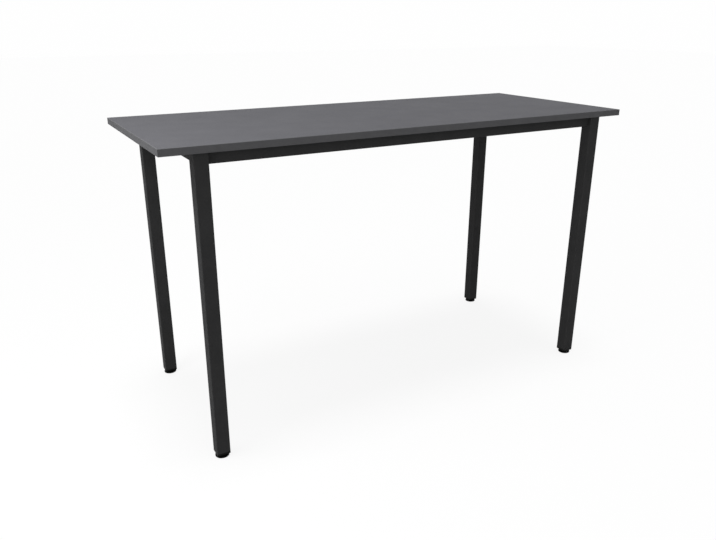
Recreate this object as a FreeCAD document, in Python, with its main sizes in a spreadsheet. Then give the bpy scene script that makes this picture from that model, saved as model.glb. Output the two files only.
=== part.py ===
import FreeCAD, Part
import math
import os
from collections import namedtuple
import Sketcher

# Standing meeting table: a laminated board on a bolted steel frame of four square legs and four rails,
# standing on four screw feet. Millimetres, +Z up, origin on the floor below the middle of the board.
# X runs along the board, Y across it, and the front is -Y.

doc = FreeCAD.newDocument("StandingTable")

# ---------------------------------------------------------------- driving sizes
# Each row is one size that can be set by itself: its name, its value and what it measures.
SIZES = [
    ("table_height", "1153", "floor to the board's upper face, feet screwed right in"),
    ("top_length", "2000", "board with its edging, along X"),
    ("top_depth", "800", "board with its edging, along Y"),
    ("top_thickness", "25", "board"),
    ("edging_thickness", "2", "strip glued round the board"),
    ("edging_round", "1.5", "radius along the edging's outer edges"),
    ("leg_width", "50", "square tube, outside"),
    ("leg_wall", "2", "leg tube's wall"),
    ("leg_end_inset", "110", "board's end to the leg's outer face"),
    ("leg_side_inset", "8", "board's long edge to the leg's outer face"),
    ("rail_height", "40", "rail tube on edge, outside"),
    ("rail_width", "20", "rail tube, outside"),
    ("rail_wall", "2", "rail tube's wall"),
    ("tube_inner_corner", "1", "radius inside every tube's corners"),
    ("tenon_length", "60", "bar on the leg that the rail slides over"),
    ("tenon_gap", "0.1", "tenon to rail, each side"),
    ("tenon_screw_first", "18", "leg's face to the nearer tenon screw"),
    ("tenon_screw_pitch", "26", "between a tenon's two screws"),
    ("screw_diameter", "6", "M6 screws of the rails and the board"),
    ("screw_clearance", "0.3", "screw to a plain hole, each side"),
    ("thread_gap", "0.05", "screw or sleeve to the hole that it is threaded into, each side"),
    ("screw_point", "0.6", "chamfer at a screw's end"),
    ("screw_head_diameter", "10.5", "button head"),
    ("screw_head_height", "3.3", "button head"),
    ("screw_head_rim", "1", "upright rim of the button head"),
    ("screw_head_top", "6", "flat on the button head"),
    ("screw_key", "4", "hexagon socket, across flats"),
    ("screw_key_depth", "2", "hexagon socket"),
    ("rail_screw_length", "12", "below its head"),
    ("board_screw_length", "16", "below its head"),
    ("long_rail_screws", "4", "board screws in a long rail"),
    ("end_rail_screws", "2", "board screws in an end rail"),
    ("access_gap", "0.75", "screw head to the hole that it is passed up through, each side"),
    ("insert_diameter", "10", "threaded sleeve in the board"),
    ("insert_length", "13", "threaded sleeve in the board"),
    ("insert_collar_width", "1.25", "sleeve's flush collar, beyond its sleeve"),
    ("insert_collar_thickness", "1.2", "sleeve's flush collar"),
    ("pilot_spare", "4", "room in the board beyond a screw's end"),
    ("plug_flange", "7", "plug's rim under the leg tube"),
    ("plug_depth", "26", "plug's length inside the tube"),
    ("plug_wall", "2.5", "plug's skirt"),
    ("plug_rib", "2", "plug's crossed ribs"),
    ("plug_gap", "0.05", "plug to tube, each side"),
    ("plug_boss_diameter", "26", "boss that holds the nut"),
    ("plug_bore_gap", "0.4", "stem to the plug's bore, each side"),
    ("nut_across_flats", "17", "M10 nut and the stem's collar"),
    ("nut_thickness", "8", "M10 nut"),
    ("nut_gap", "0.1", "nut to its pocket, each side"),
    ("stem_diameter", "10", "M10 stem"),
    ("stem_fit", "0.06", "stem to the nut's bore, each side"),
    ("foot_travel", "15", "how far a foot screws out"),
    ("stem_spare", "3", "stem above its nut with the foot screwed right out"),
    ("stem_chamfer", "1", "stem's upper end"),
    ("collar_height", "5", "stem's hexagon"),
    ("stem_head_diameter", "16", "disc that the pad holds"),
    ("stem_head_thickness", "2.6", "disc that the pad holds"),
    ("head_gap", "0.3", "disc and neck to the pad, each side"),
    ("pad_diameter", "52", "foot's moulded base"),
    ("pad_top_diameter", "26", "flat under the collar"),
    ("pad_height", "9", "floor to the collar"),
    ("pad_rim_height", "5.6", "floor to the top of the pad's upright rim"),
    ("pad_edge", "0.8", "chamfer round the pad's lower edge"),
    ("sole_border", "4", "pad's lower face round the rubber disc"),
    ("sole_thickness", "3", "rubber disc under the pad"),
    ("sole_proud", "0.8", "rubber below the pad"),
    ("sole_gap", "0.1", "sole to its recess, each side"),
    ("sole_edge", "0.5", "chamfer round the sole's lower edge"),
]

sheet = doc.addObject("Spreadsheet::Sheet", "Sizes")
for row, (alias, value, meaning) in enumerate(SIZES, start=1):
    sheet.set(f"A{row}", meaning)
    sheet.set(f"B{row}", value)
    sheet.setAlias(f"B{row}", alias)
doc.recompute()

# ---------------------------------------------------------------- places that follow from the sizes
UNDER_TOP = "(Sizes.table_height - Sizes.top_thickness)"
FOOT_HEIGHT = "(Sizes.pad_height + Sizes.collar_height)"
LEG_BOTTOM = f"({FOOT_HEIGHT} + Sizes.plug_flange)"
LEG_X = "(Sizes.top_length / 2 - Sizes.leg_end_inset - Sizes.leg_width / 2)"
LEG_Y = "(Sizes.top_depth / 2 - Sizes.leg_side_inset - Sizes.leg_width / 2)"
LONG_RAIL = f"(2 * {LEG_X} - Sizes.leg_width)"
END_RAIL = f"(2 * {LEG_Y} - Sizes.leg_width)"
RAIL_Z = f"({UNDER_TOP} - Sizes.rail_height / 2)"
SCREW_RADIUS = "(Sizes.screw_diameter / 2)"
PLAIN_HOLE = f"({SCREW_RADIUS} + Sizes.screw_clearance)"
TAPPED_HOLE = f"({SCREW_RADIUS} + Sizes.thread_gap)"
ACCESS_HOLE = "(Sizes.screw_head_diameter / 2 + Sizes.access_gap)"
SLEEVE = "(Sizes.insert_diameter / 2)"
SLEEVE_COLLAR = f"({SLEEVE} + Sizes.insert_collar_width)"
SOLE_RECESS = "(Sizes.pad_diameter / 2 - Sizes.sole_border)"
SOLE = f"({SOLE_RECESS} - Sizes.sole_gap)"
BOARD_LENGTH = "(Sizes.top_length - 2 * Sizes.edging_thickness)"
BOARD_DEPTH = "(Sizes.top_depth - 2 * Sizes.edging_thickness)"

# Each rail by its side of the table: its length, where its middle is, how it is turned, how many board
# screws it takes, and which legs its low and high ends meet. Its own X runs from leg to leg, and its own
# +Y faces the middle of the table.
Rail = namedtuple("Rail", "length x y angle screws ends")
RAILS = {
    "front": Rail(LONG_RAIL, "0", f"-{LEG_Y}", 0, "Sizes.long_rail_screws", ("left", "right")),
    "rear": Rail(LONG_RAIL, "0", LEG_Y, 180, "Sizes.long_rail_screws", ("right", "left")),
    "left": Rail(END_RAIL, f"-{LEG_X}", "0", -90, "Sizes.end_rail_screws", ("rear", "front")),
    "right": Rail(END_RAIL, LEG_X, "0", 90, "Sizes.end_rail_screws", ("front", "rear")),
}

# Each leg by its corner of the table, with its sign along X and along Y.
CORNERS = {
    "front_left": (-1, -1),
    "front_right": (1, -1),
    "rear_left": (-1, 1),
    "rear_right": (1, 1),
}

sub_parts = []


# ---------------------------------------------------------------- how pieces are drawn
def new_body(label, exported=True):
    """A PartDesign body, kept as a sub-part unless it is only copied."""
    body = doc.addObject("PartDesign::Body", label)
    body.Label = label
    if exported:
        sub_parts.append(body)
    return body


def place(piece, x, y, z, angle=0):
    """Puts a piece at a place given by three expressions, turned about Z."""
    turn = FreeCAD.Rotation(FreeCAD.Vector(0, 0, 1), angle)
    piece.Placement = FreeCAD.Placement(FreeCAD.Vector(0, 0, 0), turn)
    for axis, where in zip("xyz", (x, y, z)):
        piece.setExpression(f"Placement.Base.{axis}", where)


def attach(feature, body, plane="XY_Plane", offset="0"):
    """Lays a sketch or a primitive on one of its body's own origin planes, raised by an offset."""
    origin_plane = next(p for p in body.Origin.OriginFeatures if p.Role == plane)
    feature.AttachmentSupport = [(origin_plane, "")]
    feature.MapMode = "FlatFace"
    feature.setExpression("AttachmentOffset.Base.z", offset)


def new_sketch(body, name, plane="XY_Plane", offset="0"):
    sketch = body.newObject("Sketcher::SketchObject", name)
    attach(sketch, body, plane, offset)
    return sketch


def bind(sketch, constraint, expression):
    """Adds a constraint with a size and ties that size to an expression."""
    index = sketch.addConstraint(constraint)
    sketch.setExpression(f"Constraints[{index}]", expression)


def number(sketch, expression):
    """The present value of an expression, for a sketch's first outline."""
    return float(sketch.evalExpression(expression))


def draw_rounded_rectangle(sketch, width, height, corner):
    """A rectangle with round corners about the sketch's origin: four lines and four arcs."""
    half_x = number(sketch, f"({width}) / 2")
    half_y = number(sketch, f"({height}) / 2")
    radius = number(sketch, corner)
    middle_x, middle_y = half_x - radius, half_y - radius
    quarter = math.pi / 2
    corners = [(middle_x, middle_y), (-middle_x, middle_y), (-middle_x, -middle_y), (middle_x, -middle_y)]
    starts = [(half_x, -middle_y), (middle_x, half_y), (-half_x, middle_y), (-middle_x, -half_y)]
    ends = [(half_x, middle_y), (-middle_x, half_y), (-half_x, -middle_y), (middle_x, -half_y)]
    lines, arcs = [], []
    for side in range(4):
        line = Part.LineSegment(FreeCAD.Vector(*starts[side], 0), FreeCAD.Vector(*ends[side], 0))
        lines.append(sketch.addGeometry(line, False))
        circle = Part.Circle(FreeCAD.Vector(*corners[side], 0), FreeCAD.Vector(0, 0, 1), radius)
        arc = Part.ArcOfCircle(circle, side * quarter, (side + 1) * quarter)
        arcs.append(sketch.addGeometry(arc, False))
    for side in range(4):
        following = lines[(side + 1) % 4]
        sketch.addConstraint(Sketcher.Constraint("Tangent", lines[side], 2, arcs[side], 1))
        sketch.addConstraint(Sketcher.Constraint("Tangent", arcs[side], 2, following, 1))
        direction = "Horizontal" if side % 2 else "Vertical"
        sketch.addConstraint(Sketcher.Constraint(direction, lines[side]))
    for arc in arcs[1:]:
        sketch.addConstraint(Sketcher.Constraint("Equal", arcs[0], arc))
    sketch.addConstraint(Sketcher.Constraint("Symmetric", arcs[0], 3, arcs[2], 3, -1, 1))
    across = Sketcher.Constraint("DistanceX", arcs[1], 3, arcs[0], 3, 2 * middle_x)
    upward = Sketcher.Constraint("DistanceY", arcs[3], 3, arcs[0], 3, 2 * middle_y)
    bind(sketch, across, f"({width}) - 2 * ({corner})")
    bind(sketch, upward, f"({height}) - 2 * ({corner})")
    bind(sketch, Sketcher.Constraint("Radius", arcs[0], radius), corner)


def tie_point(sketch, geometry, point, x, y):
    """Ties a point to two expressions from the sketch's origin, or to an axis where one of them is 0."""
    if x == "0":
        sketch.addConstraint(Sketcher.Constraint("PointOnObject", geometry, point, -2))
    else:
        along = Sketcher.Constraint("DistanceX", -1, 1, geometry, point, number(sketch, x))
        bind(sketch, along, x)
    if y == "0":
        sketch.addConstraint(Sketcher.Constraint("PointOnObject", geometry, point, -1))
    else:
        upward = Sketcher.Constraint("DistanceY", -1, 1, geometry, point, number(sketch, y))
        bind(sketch, upward, y)


def draw_circle(sketch, x, y, radius):
    start = number(sketch, radius)
    centre = FreeCAD.Vector(number(sketch, x), number(sketch, y), 0)
    circle = sketch.addGeometry(Part.Circle(centre, FreeCAD.Vector(0, 0, 1), start), False)
    tie_point(sketch, circle, 3, x, y)
    bind(sketch, Sketcher.Constraint("Radius", circle, start), radius)


def draw_polygon(sketch, corners):
    """A closed outline of straight lines through corners that are given as pairs of expressions."""
    points = [FreeCAD.Vector(number(sketch, x), number(sketch, y), 0) for x, y in corners]
    lines = []
    for here, there in zip(points, points[1:] + points[:1]):
        lines.append(sketch.addGeometry(Part.LineSegment(here, there), False))
    for line, following in zip(lines, lines[1:] + lines[:1]):
        sketch.addConstraint(Sketcher.Constraint("Coincident", line, 2, following, 1))
    for line, (x, y) in zip(lines, corners):
        tie_point(sketch, line, 1, x, y)


def draw_rectangle(sketch, width, height):
    """A sharp rectangle about the sketch's origin."""
    left, right = f"-({width}) / 2", f"({width}) / 2"
    low, high = f"-({height}) / 2", f"({height}) / 2"
    draw_polygon(sketch, [(left, low), (right, low), (right, high), (left, high)])


def pad(body, sketch, length, name="Pad"):
    feature = body.newObject("PartDesign::Pad", name)
    feature.Profile = sketch
    feature.setExpression("Length", length)
    return feature


def volume_of(body):
    doc.recompute()
    return body.Shape.Volume


def pocket(body, sketch, depth=None, upward=False, name="Pocket"):
    """Cuts a sketch out of the body, right through where no depth is given. It must find something to cut."""
    before = volume_of(body)
    feature = body.newObject("PartDesign::Pocket", name)
    feature.Profile = sketch
    feature.Reversed = upward
    if depth is None:
        feature.Type = "ThroughAll"
    else:
        feature.setExpression("Length", depth)
    if volume_of(body) >= before:
        raise RuntimeError(f"{body.Label}: {name} cuts nothing")
    return feature


def revolve(body, sketch, name="Revolution"):
    """Turns a sketch on the XZ plane about the body's Z axis."""
    feature = body.newObject("PartDesign::Revolution", name)
    feature.Profile = sketch
    feature.ReferenceAxis = (sketch, ["V_Axis"])
    feature.Angle = 360
    return feature


def prism(body, kind, across_flats, height, offset, name):
    """A hexagonal prism on the body's Z axis, added or cut away."""
    feature = body.newObject(f"PartDesign::{kind}Prism", name)
    feature.Polygon = 6
    feature.setExpression("Circumradius", f"({across_flats}) / sqrt(3)")
    feature.setExpression("Height", height)
    attach(feature, body, offset=offset)
    return feature


def tube(body, across, upward, wall, length, plane="XY_Plane", offset="0"):
    """A rectangular tube with round corners, its outline about the body's origin."""
    sketch = new_sketch(body, "Section", plane, offset)
    inside = (f"{across} - 2 * {wall}", f"{upward} - 2 * {wall}")
    draw_rounded_rectangle(sketch, across, upward, f"Sizes.tube_inner_corner + {wall}")
    draw_rounded_rectangle(sketch, *inside, "Sizes.tube_inner_corner")
    return pad(body, sketch, length)


def group(label, template, places):
    """One sub-part of several like solids: links to a template body, each at its own place."""
    copies = []
    for index, (x, y, z, turn) in enumerate(places, start=1):
        copy = doc.addObject("App::Link", f"{label}_{index}")
        copy.LinkedObject = template
        copy.Placement = FreeCAD.Placement(FreeCAD.Vector(0, 0, 0), turn)
        for axis, where in zip("xyz", (x, y, z)):
            copy.setExpression(f"Placement.Base.{axis}", where)
        copies.append(copy)
    compound = doc.addObject("Part::Compound", label)
    compound.Label = label
    compound.Links = copies
    sub_parts.append(compound)
    return compound


def board_screws_along(rail):
    """Places along a rail's own X of its board screws: evenly spaced, with half a space at each end."""
    count = round(number(sheet, rail.screws))
    return [f"{rail.length} * {(step + 0.5) / count - 0.5}" for step in range(count)]


# ---------------------------------------------------------------- board and edging
# The board is glued up and faced on both sides. Its underside has a blind hole for each threaded sleeve.
def board_screw_places():
    """Where the board's screws are, as pairs of expressions in the table's own X and Y."""
    places = []
    for rail in RAILS.values():
        for along in board_screws_along(rail):
            places.append((along, rail.y) if rail.x == "0" else (rail.x, along))
    return places


def make_board():
    body = new_body("top_board")
    outline = new_sketch(body, "Outline")
    draw_rectangle(outline, BOARD_LENGTH, BOARD_DEPTH)
    pad(body, outline, "Sizes.top_thickness")
    cuts = (
        ("Pilots", TAPPED_HOLE, "Sizes.board_screw_length - Sizes.rail_wall + Sizes.pilot_spare"),
        ("SleeveHoles", f"{SLEEVE} + Sizes.thread_gap", "Sizes.insert_length"),
        ("CollarSeats", f"{SLEEVE_COLLAR} + Sizes.thread_gap", "Sizes.insert_collar_thickness"),
    )
    for name, radius, depth in cuts:
        holes = new_sketch(body, name)
        for x, y in board_screw_places():
            draw_circle(holes, x, y, radius)
        pocket(body, holes, depth, upward=True, name=f"{name}Cut")
    place(body, "0", "0", UNDER_TOP)


def outer_edges(feature, length, outer_y):
    """Names of the straight edges on a strip's outer face and its two ends, but not on its glued face."""
    names = []
    for index, edge in enumerate(feature.Shape.Edges, start=1):
        box = edge.BoundBox
        on_outer = abs(box.YMin - outer_y) < 1e-6 and abs(box.YMax - outer_y) < 1e-6
        on_end = box.XLength < 1e-6 and abs(abs(box.XMin) - length / 2) < 1e-6 and box.YLength > 1e-6
        if on_outer or on_end:
            names.append(f"Edge{index}")
    return names


def make_edging(side, length, x, y, angle, wraps_corner):
    """A strip along one edge of the board. Its own -Y faces out. Long strips cover the short ones' ends."""
    body = new_body(f"edging_{side}")
    section = new_sketch(body, "Outline")
    low, high, near = f"-{length} / 2", f"{length} / 2", "-Sizes.edging_thickness"
    draw_polygon(section, [(low, near), (high, near), (high, "0"), (low, "0")])
    strip = pad(body, section, "Sizes.top_thickness")
    doc.recompute()
    span = number(section, length)
    rounded = outer_edges(strip, span if wraps_corner else 0, -number(section, "Sizes.edging_thickness"))
    if not wraps_corner:
        rounded = [name for name in rounded if strip.Shape.getElement(name).BoundBox.ZLength < 1e-6]
    fillet = body.newObject("PartDesign::Fillet", "Rounding")
    fillet.Base = (strip, rounded)
    fillet.setExpression("Radius", "min(Sizes.edging_round; 0.9 * Sizes.edging_thickness)")
    place(body, x, y, UNDER_TOP, angle)


# ---------------------------------------------------------------- frame
def make_leg(corner, sign_x, sign_y):
    """A square tube, open at both ends, from its plug's rim up to the board."""
    body = new_body(f"leg_{corner}")
    tube(body, "Sizes.leg_width", "Sizes.leg_width", "Sizes.leg_wall", f"{UNDER_TOP} - {LEG_BOTTOM}")
    place(body, f"{sign_x} * {LEG_X}", f"{sign_y} * {LEG_Y}", LEG_BOTTOM)


def tenon_screws_along(rail):
    """Places along a rail's own X of its four tenon screws, from its low end to its high end."""
    first = f"({rail.length} / 2 - Sizes.tenon_screw_first)"
    second = f"({first} - Sizes.tenon_screw_pitch)"
    return [f"-{first}", f"-{second}", second, first]


def make_rail(side, rail):
    """A flat tube on edge from leg to leg. Board screws pass its top wall, tenon screws its inner wall."""
    body = new_body(f"rail_{side}")
    start = f"-{rail.length} / 2"
    tube(body, "Sizes.rail_width", "Sizes.rail_height", "Sizes.rail_wall", rail.length, "YZ_Plane", start)
    screw_holes = new_sketch(body, "BoardScrewHoles")
    access_holes = new_sketch(body, "AccessHoles")
    for along in board_screws_along(rail):
        draw_circle(screw_holes, along, "0", PLAIN_HOLE)
        draw_circle(access_holes, along, "0", ACCESS_HOLE)
    pocket(body, screw_holes, upward=True, name="BoardScrewCut")
    pocket(body, access_holes, name="AccessCut")
    tenon_holes = new_sketch(body, "TenonScrewHoles", "XZ_Plane")
    for along in tenon_screws_along(rail):
        draw_circle(tenon_holes, along, "0", PLAIN_HOLE)
    pocket(body, tenon_holes, name="TenonScrewCut")
    place(body, rail.x, rail.y, RAIL_Z, rail.angle)


def make_tenon(side, rail, low_end):
    """A steel bar welded to the leg's face. The rail slides over it and two screws hold it."""
    body = new_body(f"tenon_{side}_{rail.ends[0 if low_end else 1]}")
    start = f"-{rail.length} / 2" if low_end else f"{rail.length} / 2 - Sizes.tenon_length"
    section = new_sketch(body, "Section", "YZ_Plane", start)
    across = "Sizes.rail_width - 2 * Sizes.rail_wall - 2 * Sizes.tenon_gap"
    upward = "Sizes.rail_height - 2 * Sizes.rail_wall - 2 * Sizes.tenon_gap"
    draw_rounded_rectangle(section, across, upward, "Sizes.tube_inner_corner")
    pad(body, section, "Sizes.tenon_length")
    holes = new_sketch(body, "TappedHoles", "XZ_Plane", f"({across}) / 2")
    places = tenon_screws_along(rail)
    for along in (places[:2] if low_end else places[2:]):
        draw_circle(holes, along, "0", TAPPED_HOLE)
    pocket(body, holes, name="TappedCut")
    place(body, rail.x, rail.y, RAIL_Z, rail.angle)


# ---------------------------------------------------------------- screws and sleeves
def make_screw(label, length):
    """A button-head screw with a hexagon socket, its shank down from the origin and its head above."""
    body = new_body(label, exported=False)
    outline = new_sketch(body, "Profile", "XZ_Plane")
    head, height = "Sizes.screw_head_diameter / 2", "Sizes.screw_head_height"
    corners = [
        ("0", f"-{length}"),
        (f"{SCREW_RADIUS} - Sizes.screw_point", f"-{length}"),
        (SCREW_RADIUS, f"Sizes.screw_point - {length}"),
        (SCREW_RADIUS, "0"),
        (head, "0"),
        (head, "Sizes.screw_head_rim"),
        ("Sizes.screw_head_top / 2", height),
        ("0", height),
    ]
    draw_polygon(outline, corners)
    revolve(body, outline)
    before = volume_of(body)
    depth = "Sizes.screw_key_depth"
    prism(body, "Subtractive", "Sizes.screw_key", depth, f"{height} - {depth}", "Socket")
    if volume_of(body) >= before:
        raise RuntimeError(f"{label}: its socket cuts nothing")
    return body


def make_insert():
    """A threaded sleeve with a flush collar, screwed up into the board from below."""
    body = new_body("board_insert", exported=False)
    outline = new_sketch(body, "Profile", "XZ_Plane")
    thick = "Sizes.insert_collar_thickness"
    corners = [
        (TAPPED_HOLE, "0"),
        (SLEEVE_COLLAR, "0"),
        (SLEEVE_COLLAR, thick),
        (SLEEVE, thick),
        (SLEEVE, "Sizes.insert_length"),
        (TAPPED_HOLE, "Sizes.insert_length"),
    ]
    draw_polygon(outline, corners)
    revolve(body, outline)
    return body


def make_fasteners():
    """Tenon screws, one group for each rail, and the board's sleeves and screws."""
    upright = FreeCAD.Rotation()
    outward = FreeCAD.Rotation(FreeCAD.Vector(1, 0, 0), -90)
    rail_screw = make_screw("rail_screw", "Sizes.rail_screw_length")
    board_screw = make_screw("board_screw", "Sizes.board_screw_length")
    insert = make_insert()
    for side, rail in RAILS.items():
        places = [(along, "Sizes.rail_width / 2", "0", outward) for along in tenon_screws_along(rail)]
        screws_here = group(f"rail_screws_{side}", rail_screw, places)
        place(screws_here, rail.x, rail.y, RAIL_Z, rail.angle)
    flipped = FreeCAD.Rotation(FreeCAD.Vector(1, 0, 0), 180)
    under_wall = f"{UNDER_TOP} - Sizes.rail_wall"
    group("board_screws", board_screw, [(x, y, under_wall, flipped) for x, y in board_screw_places()])
    group("board_inserts", insert, [(x, y, UNDER_TOP, upright) for x, y in board_screw_places()])


# ---------------------------------------------------------------- feet
def make_plug(corner, x, y):
    """A moulded plug pressed into the leg: a rim, a skirt, two crossed ribs and a boss that holds the nut."""
    body = new_body(f"leg_plug_{corner}")
    rim = new_sketch(body, "Rim")
    tube_corner = "Sizes.tube_inner_corner + Sizes.leg_wall"
    draw_rounded_rectangle(rim, "Sizes.leg_width", "Sizes.leg_width", tube_corner)
    pad(body, rim, "Sizes.plug_flange", "RimPad")
    side = "(Sizes.leg_width - 2 * Sizes.leg_wall - 2 * Sizes.plug_gap)"
    skirt = new_sketch(body, "Skirt", offset="Sizes.plug_flange")
    draw_rounded_rectangle(skirt, side, side, "Sizes.tube_inner_corner")
    draw_rectangle(skirt, f"{side} - 2 * Sizes.plug_wall", f"{side} - 2 * Sizes.plug_wall")
    pad(body, skirt, "Sizes.plug_depth", "SkirtPad")
    reach, thick = f"{side} - Sizes.plug_wall", "Sizes.plug_rib"
    for name, across, along in (("RibX", reach, thick), ("RibY", thick, reach)):
        rib = new_sketch(body, name, offset="Sizes.plug_flange")
        draw_rectangle(rib, across, along)
        pad(body, rib, "Sizes.plug_depth", f"{name}Pad")
    boss = new_sketch(body, "Boss", offset="Sizes.plug_flange")
    draw_circle(boss, "0", "0", "Sizes.plug_boss_diameter / 2")
    pad(body, boss, "Sizes.plug_depth", "BossPad")
    bore = new_sketch(body, "Bore")
    draw_circle(bore, "0", "0", "Sizes.stem_diameter / 2 + Sizes.plug_bore_gap")
    pocket(body, bore, upward=True, name="BoreCut")
    before = volume_of(body)
    pocket_floor = "Sizes.plug_flange + Sizes.plug_depth - Sizes.nut_thickness"
    across_flats = "Sizes.nut_across_flats + 2 * Sizes.nut_gap"
    prism(body, "Subtractive", across_flats, "Sizes.nut_thickness", pocket_floor, "NutPocket")
    if volume_of(body) >= before:
        raise RuntimeError(f"{body.Label}: its nut pocket cuts nothing")
    place(body, x, y, FOOT_HEIGHT)


def make_nut(corner, x, y):
    """An M10 nut pressed into the plug's boss, flush with its top."""
    body = new_body(f"foot_nut_{corner}")
    prism(body, "Additive", "Sizes.nut_across_flats", "Sizes.nut_thickness", "0", "Hexagon")
    bore = new_sketch(body, "Bore")
    draw_circle(bore, "0", "0", "Sizes.stem_diameter / 2 + Sizes.stem_fit")
    pocket(body, bore, upward=True, name="BoreCut")
    place(body, x, y, f"{LEG_BOTTOM} + Sizes.plug_depth - Sizes.nut_thickness")


def make_stem(corner, x, y):
    """An M10 stem with a hexagon collar, and a disc below it that turns loosely in the pad."""
    body = new_body(f"foot_stem_{corner}")
    outline = new_sketch(body, "Profile", "XZ_Plane")
    radius, head = "Sizes.stem_diameter / 2", "Sizes.stem_head_diameter / 2"
    head_low = "Sizes.sole_thickness + Sizes.head_gap"
    head_high = f"{head_low} + Sizes.stem_head_thickness"
    tip = f"{LEG_BOTTOM} + Sizes.plug_depth + Sizes.foot_travel + Sizes.stem_spare"
    corners = [
        ("0", head_low),
        (head, head_low),
        (head, head_high),
        (radius, head_high),
        (radius, f"{tip} - Sizes.stem_chamfer"),
        (f"{radius} - Sizes.stem_chamfer", tip),
        ("0", tip),
    ]
    draw_polygon(outline, corners)
    revolve(body, outline)
    prism(body, "Additive", "Sizes.nut_across_flats", "Sizes.collar_height", "Sizes.pad_height", "Collar")
    place(body, x, y, "0")


def make_pad(corner, x, y):
    """A moulded base, sloped up to the collar. It holds the stem's disc, and has a recess for the sole."""
    body = new_body(f"foot_pad_{corner}")
    outline = new_sketch(body, "Profile", "XZ_Plane")
    neck = "Sizes.stem_diameter / 2 + Sizes.head_gap"
    socket = "Sizes.stem_head_diameter / 2 + Sizes.head_gap"
    socket_high = "Sizes.sole_thickness + Sizes.stem_head_thickness + 2 * Sizes.head_gap"
    rim, edge = "Sizes.pad_diameter / 2", "Sizes.pad_edge"
    corners = [
        (neck, socket_high),
        (socket, socket_high),
        (socket, "Sizes.sole_thickness"),
        (SOLE_RECESS, "Sizes.sole_thickness"),
        (SOLE_RECESS, "Sizes.sole_proud"),
        (f"{rim} - {edge}", "Sizes.sole_proud"),
        (rim, f"Sizes.sole_proud + {edge}"),
        (rim, "Sizes.pad_rim_height"),
        ("Sizes.pad_top_diameter / 2", "Sizes.pad_height"),
        (neck, "Sizes.pad_height"),
    ]
    draw_polygon(outline, corners)
    revolve(body, outline)
    place(body, x, y, "0")


def make_sole(corner, x, y):
    """A rubber disc let into the pad, standing a little proud below it."""
    body = new_body(f"foot_sole_{corner}")
    outline = new_sketch(body, "Profile", "XZ_Plane")
    corners = [
        ("0", "0"),
        (f"{SOLE} - Sizes.sole_edge", "0"),
        (SOLE, "Sizes.sole_edge"),
        (SOLE, "Sizes.sole_thickness"),
        ("0", "Sizes.sole_thickness"),
    ]
    draw_polygon(outline, corners)
    revolve(body, outline)
    place(body, x, y, "0")


# ---------------------------------------------------------------- the table
make_board()
half_length, half_depth = f"{BOARD_LENGTH} / 2", f"{BOARD_DEPTH} / 2"
make_edging("front", "Sizes.top_length", "0", f"-{half_depth}", 0, True)
make_edging("rear", "Sizes.top_length", "0", half_depth, 180, True)
make_edging("left", BOARD_DEPTH, f"-{half_length}", "0", -90, False)
make_edging("right", BOARD_DEPTH, half_length, "0", 90, False)

for side, rail in RAILS.items():
    make_rail(side, rail)
    make_tenon(side, rail, low_end=True)
    make_tenon(side, rail, low_end=False)

for corner, (sign_x, sign_y) in CORNERS.items():
    make_leg(corner, sign_x, sign_y)
    leg_x, leg_y = f"{sign_x} * {LEG_X}", f"{sign_y} * {LEG_Y}"
    make_plug(corner, leg_x, leg_y)
    make_nut(corner, leg_x, leg_y)
    make_stem(corner, leg_x, leg_y)
    make_pad(corner, leg_x, leg_y)
    make_sole(corner, leg_x, leg_y)

make_fasteners()
doc.recompute()

# ---------------------------------------------------------------- checks and files
for piece in doc.Objects:
    if "Invalid" in piece.State or "Error" in piece.State:
        raise RuntimeError(f"{piece.Label} failed to build: {piece.State}")
for piece in sub_parts:
    if piece.Shape.isNull() or not piece.Shape.isValid():
        raise RuntimeError(f"{piece.Label} has no valid shape")

os.makedirs("parts", exist_ok=True)
for piece in sub_parts:
    piece.Shape.exportStep(f"parts/{piece.Label}.step")
    box = piece.Shape.BoundBox
    low = f"{box.XMin:.1f} {box.YMin:.1f} {box.ZMin:.1f}"
    high = f"{box.XMax:.1f} {box.YMax:.1f} {box.ZMax:.1f}"
    print(f"{piece.Label}: {len(piece.Shape.Solids)} solid(s), {low} to {high}")
print(f"{len(sub_parts)} sub-parts")
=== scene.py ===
import math

import bmesh
import bpy
import numpy as np
from mathutils import Matrix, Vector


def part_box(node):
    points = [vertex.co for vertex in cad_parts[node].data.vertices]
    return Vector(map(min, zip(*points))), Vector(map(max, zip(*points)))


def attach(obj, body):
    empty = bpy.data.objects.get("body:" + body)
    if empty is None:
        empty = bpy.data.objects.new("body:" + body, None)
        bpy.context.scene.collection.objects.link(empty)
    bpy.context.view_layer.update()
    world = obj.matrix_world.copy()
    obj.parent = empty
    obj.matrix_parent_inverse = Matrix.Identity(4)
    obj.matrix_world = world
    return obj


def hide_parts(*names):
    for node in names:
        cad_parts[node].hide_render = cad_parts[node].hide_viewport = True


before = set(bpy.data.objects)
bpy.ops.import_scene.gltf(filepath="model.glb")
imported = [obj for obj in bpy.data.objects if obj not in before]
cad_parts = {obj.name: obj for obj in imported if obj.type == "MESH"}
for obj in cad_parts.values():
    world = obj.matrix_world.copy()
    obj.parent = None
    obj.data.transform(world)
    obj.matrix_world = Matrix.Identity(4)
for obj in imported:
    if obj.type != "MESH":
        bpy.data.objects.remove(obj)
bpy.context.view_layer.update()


# ---------------------------------------------------------------------------------------- legs
# Four lengths of 50 x 50 x 2 mm square steel tube, sawn square, deburred and powder-coated black with a
# fine satin texture. Each stands on the rim of its plug and ends against the board's underside.

MM = 0.001
CORNERS = ("front_left", "front_right", "rear_left", "rear_right")
LEG_WALL = 2 * MM
TUBE_INNER_CORNER = 1 * MM
COATED_EDGE = 0.35 * MM
SHARP_ANGLE = math.radians(38)


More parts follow.
